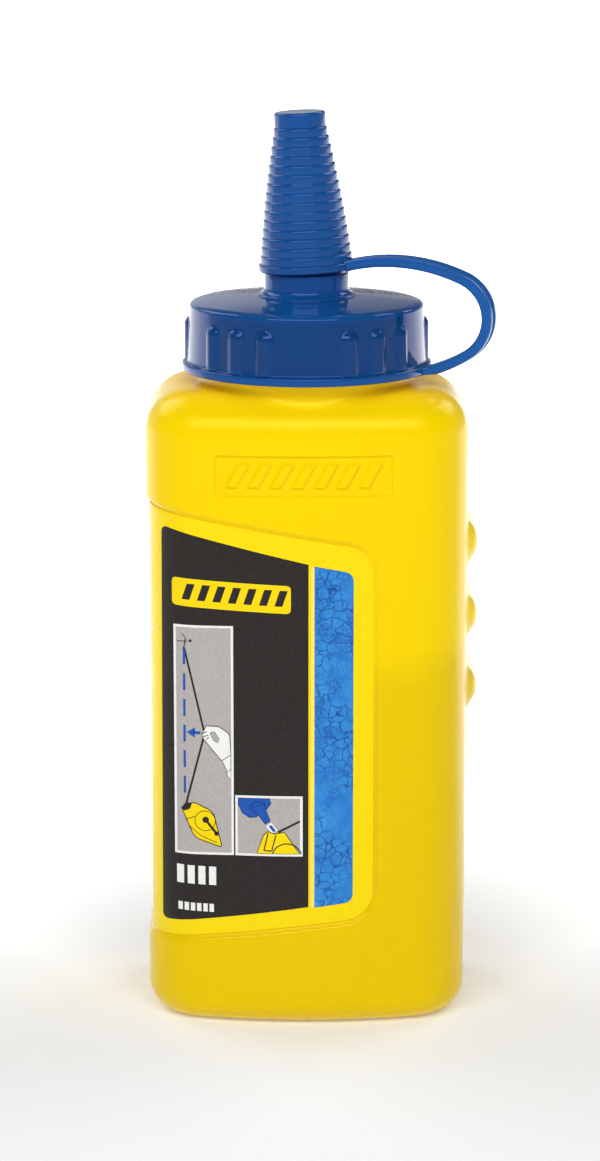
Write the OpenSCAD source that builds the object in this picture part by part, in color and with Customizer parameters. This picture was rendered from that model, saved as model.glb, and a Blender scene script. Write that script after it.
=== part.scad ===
// Refill squeeze bottle for marking-line chalk: crowned body, screw cap, spout and tethered cover.
// Front faces -Y. The base rests on z = 0 and the neck axis is the Z axis.

/* [Body] */
// width across the flat sides
body_w = 53.5; // [50:0.5:57]
// depth across the crowned front and back faces
body_d = 41; // [38:0.5:44]
// spread of the corner centres; more makes the corners tighter and the faces flatter
spread = 1.8; // [1.7:0.02:1.9]
// height of the shoulder top
shoulder_z = 107; // [104:0.5:109]
// radius that rolls the walls over into the shoulder
shoulder_r = 7.2; // [5:0.1:8]
// radius around the base
base_r = 5; // [3:0.1:7]
// wall of the blown body
wall = 1.1; // [0.8:0.1:1.6]

/* [Label panel and marks] */
// depth of the panel that keeps the label clear of the hand
panel_depth = 0.8; // [0.4:0.1:1.2]
// thickness of the label film
label_t = 0.15; // [0.1:0.05:0.3]
// gap between the label's edge and the edge of its panel
label_margin = 0.6; // [0.3:0.1:1.5]
// right edge of the panel at its top and bottom
panel_x = 11.7; // [9:0.1:14]
// lower edge of the panel at the right
panel_low_z = 18; // [15:0.1:24]
// upper edge of the panel at the right
panel_high_z = 83.3; // [76:0.1:84]
// how far the lower edge drops per millimetre towards the left
low_slope = 0.123; // [0:0.001:0.2]
// how far the upper edge climbs per millimetre towards the left
high_slope = 0.169; // [0:0.001:0.2]
// radius of the panel's two right-hand corners
panel_r = 6; // [3:0.5:8]
// depth of the small moulded plate on the shoulder
plate_depth = 0.5; // [0.3:0.1:0.7]
// width of that plate
plate_w = 28.9; // [24:0.1:32]
// height of that plate
plate_h = 6.6; // [5:0.1:7.5]
// height of the plate's centre
plate_z = 94.3; // [93:0.1:95]
// sideways place of the plate's centre
plate_x = -0.45; // [-2:0.05:2]
// number of slanted bars left standing in the plate
bar_n = 7; // [4:1:9]

/* [Grip ribs] */
// number of ribs across the right side
grip_n = 3; // [1:1:4]
// height of the lowest rib
grip_z = 55.8; // [48:0.1:60]
// spacing of the ribs
grip_pitch = 12.4; // [10:0.1:13]
// how far a rib stands proud
grip_proud = 1.9; // [1:0.1:2.2]
// radius of a rib
grip_r = 4.5; // [4:0.1:5.5]
// half the straight length of a rib
grip_half = 5.5; // [4:0.5:7]

/* [Neck] */
// outside radius of the neck
neck_r = 17.55; // [17:0.05:17.8]
// radius of the pouring mouth
mouth_r = 15.9; // [14:0.1:16.2]
// height of the neck's sealing land
neck_z = 117.8; // [116:0.1:118.5]
// radius over the bottle's thread
thread_r = 18.75; // [18.5:0.05:18.8]
// thread pitch
thread_pitch = 4.233; // [4.1:0.001:4.4]
// turns of thread on the neck and in the cap
thread_turns = 1.25; // [1:0.05:1.3]
// height of the lower end of the bottle's thread
thread_z = 110.6; // [110.2:0.1:111]

/* [Screw cap] */
// underside of the flange
cap_z = 109; // [108.5:0.1:109.5]
// radius of the flange
flange_r = 20.8; // [20.4:0.1:22]
// thickness of the flange
flange_t = 1.4; // [1:0.1:1.8]
// radius of the skirt just above the flange
skirt_low_r = 19.86; // [19.8:0.01:20]
// radius of the skirt below its rim
skirt_high_r = 19.5; // [19.45:0.01:19.7]
// height of the rim
rim_z = 120.2; // [119.8:0.1:121]
// rounding of the rim
rim_r = 0.7; // [0.3:0.1:0.9]
// radius of the cap's inner wall
cap_bore_r = 18.95; // [18.9:0.01:19]
// number of rib groups round the skirt
rib_group_n = 5; // [3:1:5]
// angle between the ribs of one group
rib_step = 15.5; // [12:0.5:18]
// how far a rib stands proud of the skirt
rib_proud = 0.55; // [0.3:0.05:0.8]
// radius of a rib
rib_r = 2.05; // [1.6:0.05:2.4]
// height of the centre of a rib's round top
rib_top_z = 116.1; // [115:0.1:116.4]
// how far the deck is crowned above the rim
deck_rise = 1.3; // [0.8:0.1:1.8]
// thickness of the sealing liner
liner_t = 0.8; // [0.5:0.1:1]
// radius of the pour hole through the liner
liner_hole_r = 5.4; // [5:0.1:6]

/* [Spout and cover] */
// radius of the boss that the cover sits on
boss_r = 7; // [6.8:0.1:7.4]
// height of the boss top
boss_z = 125.2; // [124.5:0.1:126]
// radius of the rolled bead at the foot of the boss
bead_r = 0.55; // [0.3:0.05:0.7]
// spout radius at its seal
seal_r = 5.9; // [5.6:0.05:6.1]
// height of the spout tip
spout_z = 145; // [142:0.5:146]
// spout radius at its tip
spout_tip_r = 2.5; // [2.3:0.1:2.6]
// radius of the pour hole at the tip
tip_hole_r = 1.7; // [1:0.1:1.9]
// radius of the pour hole where it leaves the cap
pour_hole_r = 4.4; // [4:0.1:4.6]
// radial clearance between spout seal and cover
seal_gap = 0.12; // [0.12:0.01:0.2]
// how far the loosely seated cover leans towards -X, in degrees
cover_lean = 2.7; // [0:0.1:2.8]
// top of the cover
cover_z = 151.3; // [149:0.1:153]
// radius of the cover's plain tip
cover_tip_r = 4.3; // [4.1:0.05:4.6]
// radius of the lowest terrace
cover_low_r = 7.63; // [7.4:0.01:7.9]
// radius of the cover's collar
collar_r = 8; // [7.9:0.05:8.4]
// number of terraces on the cover
terrace_n = 15; // [10:1:18]
// height of the first ledge below the tip
first_ledge_z = 148.8; // [148:0.1:149.5]
// height of the last ledge, at the collar
last_ledge_z = 126.45; // [126:0.05:127]
// how far the cover's outline bows out at half height
cover_bow = 0.24; // [0:0.01:0.4]
// wall of the cover at its tip
cover_wall = 1.2; // [0.9:0.1:1.3]

/* [Tether strap] */
// direction of the strap, clockwise from +X seen from above
strap_turn = 17; // [0:1:30]
// thickness of the strap
strap_t = 1.75; // [1.2:0.05:1.9]
// width of the strap
strap_w = 4; // [3:0.1:5]
// depth of the groove along the strap's outer face
groove_depth = 0.3; // [0.1:0.05:0.4]
// width of that groove
groove_w = 1.8; // [1:0.1:2.2]
// radius and sweep of the run that leaves the cover
run_bend = [28.71, 39.05];
// radius and sweep of the tight end bend
tight_bend = [6.89, 121.62];
// radius and sweep of the run back to the flange
back_bend = [23.27, 19.4];

/* [Chalk] */
// height to which the powder fills the bottle
fill_z = 63; // [20:1:95]

/* [Colours] */
bottle_colour = "#fcd405";
blue_colour = "#0f4a92";
strap_colour = "#235ca4";
chalk_colour = "#2f6fc4";
liner_colour = "#eeeeea";
label_colour = "#2d2826";

/* [Hidden] */
$fn = 96;
eps = 0.01;
arc_steps = 8;
// a 9, 40, 41 triangle joins a corner's centre to the centre of the face arc it is tangent to
tri = [9, 40, 41];
arc_x = tri[0] * spread;
corner_r = body_w / 2 - arc_x;
face_r = tri[2] * spread + corner_r;
face_centre_y = face_r - body_d / 2;
arc_y = tri[1] * spread - face_centre_y;
face_overlap = 4;
face_sector = 30;
sector_spare = 10;
wedge_far = 3;
cut_r = 1;
deck_z = neck_z + liner_t;
deck_top_z = rim_z + deck_rise;
inner_deck_r = 13;
inner_deck_t = 1.5;
liner_gap = 0.25;
thread_root_w = 2.2;
thread_crest_w = 0.9;
thread_embed = 0.25;
thread_steps = 60;
thread_fade = 6;
lock_r = thread_r - 1;
terrace_pitch = (first_ledge_z - last_ledge_z) / terrace_n;
seal_h = 2.2;
spout_gap = 0.4;
lean_shift = 0.05;
tip_round = 0.5;
first_step = 0.15;
seal_lead = 0.3;
strap_gap = 0.03;
strap_lap = 1;
strap_start = [7.6, 126.54];
strap_heading = 13.79;

// part to show

// points on an arc, for outlines
function arc(centre, r, from, to) = [
    for (i = [0 : arc_steps])
        let (a = from + (to - from) * i / arc_steps)
        centre + r * [cos(a), sin(a)]
];

// a wall that runs out to reach, rounded at its top and base
module edge_profile(reach, low, high, top_r, low_r) {
    difference() {
        translate([0, low]) square([reach, high - low]);
        translate([reach - top_r, high - top_r]) difference() {
            square(top_r + cut_r);
            circle(top_r);
        }
        translate([reach - low_r, low + low_r]) mirror([0, 1]) difference() {
            square(low_r + cut_r);
            circle(low_r);
        }
    }
}

// the body's crowned rounded-rectangle form, drawn in by inset
module body_form(inset, low, high) {
    reach = corner_r - inset;
    top_r = shoulder_r - inset;
    low_r = base_r - inset;
    for (sx = [0, 1]) mirror([sx, 0, 0]) {
        for (sy = [0, 1]) mirror([0, sy, 0])
            translate([arc_x, arc_y, 0]) intersection() {
                rotate_extrude(angle = 90 + 2 * sector_spare, start = -sector_spare)
                    edge_profile(reach, low, high, top_r, low_r);
                translate([0, 0, low]) linear_extrude(high - low)
                    polygon([[0, 0], [body_w, 0], [body_w, tri[1]], [tri[0], tri[1]]]);
            }
        translate([arc_x, arc_y, 0]) rotate([90, 0, 0])
            linear_extrude(2 * arc_y)
                edge_profile(reach, low, high, top_r, low_r);
    }
    for (sy = [0, 1]) mirror([0, sy, 0])
        translate([0, -face_centre_y, 0]) intersection() {
            rotate_extrude(angle = 2 * face_sector, start = 90 - face_sector)
                translate([face_r - corner_r - face_overlap, 0])
                    edge_profile(reach + face_overlap, low, high, top_r, low_r);
            translate([0, 0, low]) linear_extrude(high - low) scale(wedge_far)
                polygon([[0, 0], [tri[0], tri[1]], [-tri[0], tri[1]]]);
        }
    translate([-arc_x, -arc_y, low]) cube([2 * arc_x, 2 * arc_y, high - low]);
}

// outline of the label panel, seen from the front, drawn in by inset
function panel_outline(inset) =
    let (
        right = panel_x - inset,
        r = panel_r - inset,
        low = panel_low_z + inset,
        high = panel_high_z - inset,
        far = body_w,
        run = far + right - r
    )
    concat(
        [[-far, low - low_slope * run]],
        arc([right - r, low + r], r, -90, 0),
        arc([right - r, high - r], r, 0, 90),
        [[-far, high + high_slope * run]]
    );

// a shape drawn in X and Z, run right through the body front to back
module through_body() {
    translate([0, body_d, 0]) rotate([90, 0, 0]) linear_extrude(2 * body_d) children();
}

module panel_cut(inset, depth) {
    difference() {
        through_body() polygon(panel_outline(inset));
        body_form(depth, 0, shoulder_z);
    }
}

module plate_cut() {
    pitch = plate_w / (bar_n + 1);
    lean = plate_h / 3;
    bar_w = pitch / 2;
    bar_h = plate_h * 0.6;
    difference() {
        rotate([90, 0, 0]) linear_extrude(body_d) translate([plate_x, plate_z])
            difference() {
                square([plate_w, plate_h], center = true);
                for (i = [1 : bar_n])
                    translate([-plate_w / 2 + i * pitch, 0])
                        polygon([
                            [-bar_w / 2 - lean / 2, -bar_h / 2],
                            [bar_w / 2 - lean / 2, -bar_h / 2],
                            [bar_w / 2 + lean / 2, bar_h / 2],
                            [-bar_w / 2 + lean / 2, bar_h / 2]
                        ]);
            }
        body_form(plate_depth, 0, shoulder_z);
    }
}

module grip_ribs(inset) {
    x = body_w / 2 + grip_proud - grip_r;
    for (i = [0 : grip_n - 1]) translate([x, 0, grip_z + i * grip_pitch]) {
        rotate([90, 0, 0]) rotate_extrude() difference() {
            union() {
                translate([0, -grip_half]) square([grip_r - inset, 2 * grip_half]);
                for (side = [-1, 1]) translate([0, side * grip_half]) circle(grip_r - inset);
            }
            translate([-body_w, -body_w]) square([body_w, 2 * body_w]);
        }
    }
}

// one helical thread from root radius to crest radius; the crest may lie inside the root
module thread(root_r, crest_r, z, start) {
    n = round(thread_steps * thread_turns);
    outward = crest_r > root_r;
    points = [
        for (i = [0 : n])
            let (
                a = start + 360 * thread_turns * i / n,
                fade = min(1, (i + 0.5) / thread_fade, (n - i + 0.5) / thread_fade),
                tip = root_r + (crest_r - root_r) * fade,
                h = z + thread_pitch * thread_turns * i / n
            )
            for (p = [
                [root_r, -thread_root_w / 2],
                [tip, -thread_crest_w / 2],
                [tip, thread_crest_w / 2],
                [root_r, thread_root_w / 2]
            ])
                [p[0] * cos(a), p[0] * sin(a), h + p[1]]
    ];
    sides = [
        for (i = [0 : n - 1], k = [0 : 3])
            let (a = 4 * i + k, b = 4 * i + (k + 1) % 4)
            for (t = [[a, b, b + 4], [a, b + 4, a + 4]]) t
    ];
    last = 4 * n;
    caps = [[0, 3, 2], [0, 2, 1], [last, last + 1, last + 2], [last, last + 2, last + 3]];
    faces = concat(sides, caps);
    polyhedron(points, outward ? faces : [for (f = faces) [f[2], f[1], f[0]]]);
}

// the hollow inside the blown body
module body_cavity() {
    difference() {
        union() {
            body_form(wall, wall, shoulder_z - wall);
            grip_ribs(wall);
        }
        panel_cut(-wall, panel_depth + wall);
    }
}

module bottle() color(bottle_colour) {
    difference() {
        union() {
            body_form(0, 0, shoulder_z);
            grip_ribs(0);
            translate([0, 0, shoulder_z - shoulder_r])
                cylinder(r = neck_r, h = neck_z - shoulder_z + shoulder_r);
            thread(neck_r - thread_embed, thread_r, thread_z, 0);
        }
        panel_cut(0, panel_depth);
        plate_cut();
        body_cavity();
        translate([0, 0, shoulder_z - shoulder_r])
            cylinder(r = mouth_r, h = neck_z);
    }
}

module chalk_powder() color(chalk_colour) {
    intersection() {
        body_cavity();
        translate([-body_w, -body_w, 0]) cube([2 * body_w, 2 * body_w, fill_z]);
    }
}

module wrap_label() color(label_colour) {
    difference() {
        intersection() {
            body_form(panel_depth - label_t, 0, shoulder_z);
            through_body() polygon(panel_outline(label_margin));
        }
        body_form(panel_depth, -1, shoulder_z + 1);
    }
}

module cap_liner() color(liner_colour) {
    translate([0, 0, neck_z]) difference() {
        cylinder(r = cap_bore_r - liner_gap, h = liner_t);
        translate([0, 0, -1]) cylinder(r = liner_hole_r, h = liner_t + 2);
    }
}

// half section of the cap's outside, from flange to boss
function cap_outline() =
    let (
        drop = deck_rise,
        crown_r = (skirt_high_r * skirt_high_r + drop * drop) / (2 * drop),
        foot_r = boss_r + 2 * bead_r,
        foot_z = deck_top_z - crown_r + sqrt(crown_r * crown_r - foot_r * foot_r)
    )
    concat(
        [[0, cap_z], [flange_r, cap_z], [flange_r, cap_z + flange_t], [skirt_low_r, cap_z + flange_t]],
        arc([skirt_high_r - rim_r, rim_z - rim_r], rim_r, 0, 80),
        [
            for (i = [1 : arc_steps])
                let (r = skirt_high_r - rim_r + (foot_r - skirt_high_r + rim_r) * i / arc_steps)
                [r, deck_top_z - crown_r + sqrt(crown_r * crown_r - r * r)]
        ],
        arc([boss_r + bead_r, foot_z + bead_r / 2], bead_r, 0, 180),
        [[boss_r, boss_z], [seal_r, boss_z], [seal_r, boss_z + seal_h]],
        [[seal_r - spout_gap, boss_z + seal_h + spout_gap], [spout_tip_r, spout_z], [0, spout_z]]
    );

module cap_ribs() {
    for (g = [0 : rib_group_n - 1], k = [-1 : 1])
        rotate([0, 0, 90 + 360 * g / rib_group_n + k * rib_step])
            translate([skirt_low_r + rib_proud - rib_r, 0, 0]) rotate_extrude() difference() {
                translate([0, cap_z + eps]) square([rib_r, rib_top_z + rib_r - cap_z - eps]);
                translate([0, rib_top_z]) difference() {
                    square(rib_r + cut_r);
                    circle(rib_r);
                }
            }
}

module screw_cap() color(blue_colour) {
    difference() {
        union() {
            rotate_extrude() polygon(cap_outline());
            cap_ribs();
        }
        translate([0, 0, cap_z - 1]) cylinder(r = cap_bore_r, h = deck_z - cap_z + 1);
        translate([0, 0, cap_z]) cylinder(r = inner_deck_r, h = rim_z - inner_deck_t + deck_rise - cap_z);
        translate([0, 0, deck_z]) cylinder(r = pour_hole_r, h = boss_z - deck_z + seal_h);
        translate([0, 0, boss_z + seal_h - eps])
            cylinder(r1 = pour_hole_r, r2 = tip_hole_r, h = spout_z - boss_z - seal_h + 2 * eps);
    }
    thread(cap_bore_r + thread_embed, lock_r, thread_z, 180);
}

// radius of terrace k, counted from the tip
function terrace_r(k) =
    let (t = k / (terrace_n - 1))
    cover_tip_r + first_step + (cover_low_r - cover_tip_r - first_step) * t + cover_bow * 4 * t * (1 - t);

// the cover's own axis to its resting place: tipped over the left edge of the boss
module leaned() {
    translate([lean_shift - boss_r, 0, boss_z]) rotate([0, -cover_lean, 0])
        translate([boss_r, 0, -boss_z]) children();
}

module nozzle_cover() color(blue_colour) leaned() {
    outline = concat(
        [[0, boss_z], [collar_r, boss_z], [collar_r, last_ledge_z]],
        [
            for (k = [terrace_n - 1 : -1 : 0], end = [1, 0])
                [terrace_r(k), first_ledge_z - (k + end) * terrace_pitch]
        ],
        [[cover_tip_r, first_ledge_z]],
        arc([cover_tip_r - tip_round, cover_z - tip_round], tip_round, 0, 90),
        [[0, cover_z]]
    );
    difference() {
        rotate_extrude() polygon(outline);
        translate([0, 0, boss_z - 1]) cylinder(r = seal_r + seal_gap, h = seal_h + 1 + seal_lead);
        translate([0, 0, boss_z + seal_h + seal_lead - eps])
            cylinder(
                r1 = seal_r + seal_gap,
                r2 = cover_tip_r - cover_wall,
                h = cover_z - 2 * cover_wall - boss_z - seal_h
            );
    }
}

// the far end of a clockwise bend that starts at p with heading h
function bend_end(p, h, bend) =
    p + bend[0] * [sin(h), -cos(h)] + bend[0] * [-sin(h - bend[1]), cos(h - bend[1])];

module strap_run(p, h, bend) {
    centre = p + bend[0] * [sin(h), -cos(h)];
    translate([centre[0], 0, centre[1]]) rotate([90, 0, 0])
        rotate_extrude(angle = bend[1] + strap_lap, start = h + 90 - bend[1] - strap_lap)
            translate([bend[0], 0]) difference() {
                square([strap_t, strap_w], center = true);
                translate([strap_t / 2, 0]) square([2 * groove_depth, groove_w], center = true);
            }
}

module tether_strap() color(strap_colour) {
    h2 = strap_heading - run_bend[1];
    h3 = h2 - tight_bend[1];
    p2 = bend_end(strap_start, strap_heading, run_bend);
    p3 = bend_end(p2, h2, tight_bend);
    difference() {
        rotate([0, 0, -strap_turn]) {
            strap_run(strap_start, strap_heading, run_bend);
            strap_run(p2, h2, tight_bend);
            strap_run(p3, h3, back_bend);
        }
        leaned() cylinder(r = collar_r + strap_gap, h = cover_z);
        translate([0, 0, cap_z - 1]) cylinder(r = flange_r, h = flange_t + 2);
    }
}

bottle();
chalk_powder();
wrap_label();
cap_liner();
screw_cap();
nozzle_cover();
tether_strap();
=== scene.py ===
"""Looks for the chalk squeeze bottle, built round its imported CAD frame.

Shapes are worked out in millimetres. Meshes, lights, the camera and the stage are in metres.
"""

import math

import bmesh
import bpy
import numpy as np
from mathutils import Matrix, Vector


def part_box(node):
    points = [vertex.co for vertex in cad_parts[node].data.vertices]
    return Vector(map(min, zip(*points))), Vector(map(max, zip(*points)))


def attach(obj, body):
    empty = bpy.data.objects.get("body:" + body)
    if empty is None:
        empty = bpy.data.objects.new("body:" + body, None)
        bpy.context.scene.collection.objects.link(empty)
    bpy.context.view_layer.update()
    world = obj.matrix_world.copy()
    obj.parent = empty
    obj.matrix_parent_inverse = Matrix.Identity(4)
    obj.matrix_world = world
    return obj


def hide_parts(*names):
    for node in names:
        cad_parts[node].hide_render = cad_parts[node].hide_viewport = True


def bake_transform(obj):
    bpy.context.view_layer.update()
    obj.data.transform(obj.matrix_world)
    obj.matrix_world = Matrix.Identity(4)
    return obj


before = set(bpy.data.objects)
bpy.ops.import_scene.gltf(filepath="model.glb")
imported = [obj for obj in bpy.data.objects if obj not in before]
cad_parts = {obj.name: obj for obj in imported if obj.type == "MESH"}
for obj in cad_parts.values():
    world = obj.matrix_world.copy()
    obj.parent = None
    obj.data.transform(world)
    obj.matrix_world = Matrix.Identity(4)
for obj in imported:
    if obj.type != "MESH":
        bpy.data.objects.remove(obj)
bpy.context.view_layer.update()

MM = 0.001


def box_mm(node):
    low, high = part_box(node)
    return np.array(low) / MM, np.array(high) / MM


# ---- sizes: read from the frame, with the radii that a box can't give ----
bottle_low, bottle_high = box_mm("bottle")
cap_low, cap_high = box_mm("screw_cap")

HALF_W = -bottle_low[0]
HALF_D = -bottle_low[1]
NECK_TOP = bottle_high[2]
SPREAD = 1.8
ARC_X = 9 * SPREAD
CORNER_R = HALF_W - ARC_X
FACE_R = 41 * SPREAD + CORNER_R
FACE_Y = FACE_R - HALF_D
ARC_Y = 40 * SPREAD - FACE_Y
TILT = math.atan2(40, 9)
SHOULDER_Z = 107
SHOULDER_R = 7.2
WALL_TOP = SHOULDER_Z - SHOULDER_R
BASE_R = 5
WALL = 1.1
PUSH_UP = 0.7

PANEL_DEPTH = 0.8
LABEL_T = 0.15
LABEL_MARGIN = 0.6
PANEL_X = 11.7
PANEL_R = 6
PANEL_LOW, LOW_SLOPE = 18, 0.123
PANEL_HIGH, HIGH_SLOPE = 83.3, 0.169
PLATE_DEPTH = 0.5
PLATE_W, PLATE_H = 28.9, 6.6
PLATE_CORNER = 0.6
PLATE_X, PLATE_Z = -0.45, 94.3
BARS = 7

GRIPS = (55.8, 68.2, 80.6)
GRIP_R, GRIP_PROUD, GRIP_HALF = 4.5, 1.9, 5.5

NECK_R, MOUTH_R, THREAD_R = 17.55, 15.9, 18.75
PITCH, TURNS, THREAD_Z = 4.233, 1.25, 110.6

CAP_Z, FLANGE_R, FLANGE_T = cap_low[2], 20.8, 1.4
SKIRT_LOW_R, SKIRT_HIGH_R = 19.86, 19.5
RIM_Z, RIM_R, DECK_RISE = 120.2, 0.7, 1.3
CAP_BORE_R = 18.95
LINER_T = 0.8
DECK_UNDER = NECK_TOP + LINER_T
RIB_R, RIB_PROUD, RIB_TOP = 2.05, 0.55, 116.1
BOSS_R, BOSS_Z = 7, 125.2
SEAL_R, SEAL_H, SPOUT_Z = 5.9, 2.2, cap_high[2]
TIP_R, TIP_HOLE_R, POUR_R = 2.5, 1.7, 4.4

COLLAR_R = 8
TERRACES, FIRST_LEDGE, LAST_LEDGE = 15, 148.8, 126.45
COVER_TIP_R, COVER_LOW_R, COVER_BOW, COVER_TOP = 4.3, 7.63, 0.24, 151.3
COVER_LEAN = math.radians(2.7)
LEAN_SHIFT = 0.05

FILL_Z = box_mm("chalk_powder")[1][2]


# ---- mesh helpers ----
def link(mesh, name, material):
    obj = bpy.data.objects.new(name, mesh)
    bpy.context.scene.collection.objects.link(obj)
    mesh.materials.append(material)
    return obj


def solid(name, points, faces, material, sharp=35):
    """A smooth-shaded object from points in millimetres, with edges over sharp degrees left crisp."""
    mesh = bpy.data.meshes.new(name)
    mesh.from_pydata((np.asarray(points, float) * MM).tolist(), [], faces)
    mesh.validate()
    mesh.polygons.foreach_set("use_smooth", [True] * len(mesh.polygons))
    mesh.set_sharp_from_angle(angle=math.radians(sharp))
    return link(mesh, name, material)


def grid_faces(rows, columns, wrap_rows=False, offset=0):
    """Quads of a grid whose columns close on themselves."""
    faces = []
    for i in range(rows if wrap_rows else rows - 1):
        a, b = i * columns, (i + 1) % rows * columns
        for j in range(columns):
            k = (j + 1) % columns
            faces.append((offset + a + j, offset + a + k, offset + b + k, offset + b + j))
    return faces


def tube(name, grid, material, sharp=35, capped=False):
    """A skin over rings of points. With capped, its first and last rings close on a centre point."""
    rows, columns = grid.shape[:2]
    points = grid.reshape(-1, 3)
    faces = grid_faces(rows, columns, wrap_rows=not capped)
    if capped:
        first, last = len(points), len(points) + 1
        points = np.vstack([points, grid[0].mean(0), grid[-1].mean(0)])
        top = (rows - 1) * columns
        for j in range(columns):
            k = (j + 1) % columns
            faces.append((first, k, j))
            faces.append((last, top + j, top + k))
    return solid(name, points, faces, material, sharp)


def lathe(name, profile, material, columns=256, sharp=35):
    """A closed profile of (radius, height) points turned about the Z axis."""
    angles = np.linspace(0, 2 * math.pi, columns, endpoint=False)
    profile = np.array(profile)
    grid = np.zeros((len(profile), columns, 3))
    grid[..., 0] = profile[:, :1] * np.cos(angles)
    grid[..., 1] = profile[:, :1] * np.sin(angles)
    grid[..., 2] = profile[:, 1:]
    return tube(name, grid, material, sharp)


def arc(centre, radius, start, end, steps=6):
    """Points on an arc, in degrees."""
    angles = np.radians(np.linspace(start, end, steps + 1))
    return [(centre[0] + radius * math.cos(a), centre[1] + radius * math.sin(a)) for a in angles]


def spaced(start, end, step):
    return np.linspace(start, end, max(2, round(abs(end - start) / step) + 1))


def smooth_step(x, low, high):
    t = np.clip((x - low) / (high - low), 0, 1)
    return t * t * (3 - 2 * t)


def smooth_max(a, b, soft):
    return 0.5 * (a + b + np.sqrt((a - b) ** 2 + soft * soft))


# ---- materials ----
class Shader:
    """A node tree built call by call, ending in one principled shader."""

    def __init__(self, name, colour, **sockets):
        self.material = bpy.data.materials.new(name)
        self.material.use_nodes = True
        self.tree = self.material.node_tree
        self.out = self.tree.nodes["Principled BSDF"]
        self.out.inputs["Base Color"].default_value = (*colour, 1)
        for socket, value in sockets.items():
            self.out.inputs[socket.replace("_", " ")].default_value = value

    def node(self, kind, inputs=(), **settings):
        made = self.tree.nodes.new("ShaderNode" + kind)
        for key, value in settings.items():
            setattr(made, key, value)
        for key, value in dict(inputs).items():
            if isinstance(value, bpy.types.NodeSocket):
                self.tree.links.new(value, made.inputs[key])
            else:
                made.inputs[key].default_value = value
        return made

    def place(self):
        """Object coordinates, and the same split into X, Y and Z."""
        where = self.node("TexCoord").outputs["Object"]
        return where, self.node("SeparateXYZ", {0: where}).outputs

    def math(self, operation, a, b=0.0):
        return self.node("Math", {0: a, 1: b}, operation=operation).outputs[0]

    def noise(self, where, scale, detail=3.0, roughness=0.5):
        inputs = {"Vector": where, "Scale": scale, "Detail": detail, "Roughness": roughness}
        return self.node("TexNoise", inputs).outputs["Fac"]

    def ramp(self, value, low, high, to_low=0.0, to_high=1.0):
        inputs = {"Value": value, 1: low, 2: high, 3: to_low, 4: to_high}
        return self.node("MapRange", inputs).outputs["Result"]

    def mix(self, factor, a, b):
        made = self.node("Mix", data_type="RGBA")
        for index, value in ((0, factor), (6, a), (7, b)):
            if isinstance(value, bpy.types.NodeSocket):
                self.tree.links.new(value, made.inputs[index])
            else:
                made.inputs[index].default_value = value if index == 0 else (*value, 1)
        return made.outputs[2]

    def set(self, socket, value):
        self.tree.links.new(value, self.out.inputs[socket])

    def bump(self, *layers):
        """Layers of (height, depth in millimetres), finest last."""
        normal = None
        for height, depth in layers:
            inputs = {"Height": height, "Distance": depth * MM, "Strength": 1.0}
            if normal is not None:
                inputs["Normal"] = normal
            normal = self.node("Bump", inputs).outputs["Normal"]
        self.set("Normal", normal)


def srgb(red, green, blue):
    """Linear colour of an 8-bit one."""
    values = np.array([red, green, blue]) / 255
    return tuple(np.where(values <= 0.04045, values / 12.92, ((values + 0.055) / 1.055) ** 2.4).tolist())


def tint(colour, least=0.25):
    """Colour of face-on reflections in a strongly coloured plastic or ink. At the edges they stay white."""
    top = max(colour)
    return (*(max(least, c / top) for c in colour), 1) if top > 0.1 else (1, 1, 1, 1)


def bottle_plastic():
    """Blown yellow polyethylene, a little darker where the powder backs it, with a waxy, faintly uneven skin.

    Under the cap's flange it glows orange: a painted glow that lifts the shade there, standing in for light
    coming through the thin shoulder.
    """
    full, empty = srgb(238, 203, 4), srgb(253, 217, 2)
    s = Shader("bottle_plastic", empty, Specular_IOR_Level=0.45, Specular_Tint=tint(empty, 0.12))
    where, (x, y, z) = s.place()
    ripple = s.math("MULTIPLY", s.math("SUBTRACT", s.noise(where, 90, 4), 0.5), 6 * MM)
    settled = s.math("MULTIPLY", s.math("SUBTRACT", x, 0.7 * HALF_W * MM), 0.16)
    level = s.math("SUBTRACT", s.math("ADD", z, ripple), settled)
    above = s.ramp(level, (FILL_Z - 3.2) * MM, (FILL_Z + 2.2) * MM)
    mottle = s.ramp(s.noise(where, 220, 5, 0.6), 0.35, 0.7)
    backed_and_painted_shade = s.mix(mottle, full, srgb(240, 205, 5))
    s.set("Base Color", s.mix(above, backed_and_painted_shade, empty))
    s.set("Roughness", s.ramp(s.noise(where, 400, 3), 0.3, 0.7, 0.2, 0.27))
    # painted light: an orange emission just under the flange brightens the shade there, in place of light
    # passing through the plastic
    s.out.inputs["Emission Color"].default_value = (1.0, 0.4, 0.02, 1)
    s.set("Emission Strength", s.ramp(z, (SHOULDER_Z - 2.5) * MM, (SHOULDER_Z - 0.5) * MM, 0.0, 0.16))
    seam = s.ramp(s.math("ABSOLUTE", y), 0.0, 0.00035, 1.0, 0.0)
    s.bump((s.noise(where, 24, 1), 0.12), (seam, 0.05), (s.noise(where, 500, 1), 0.003))
    return s.material


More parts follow.
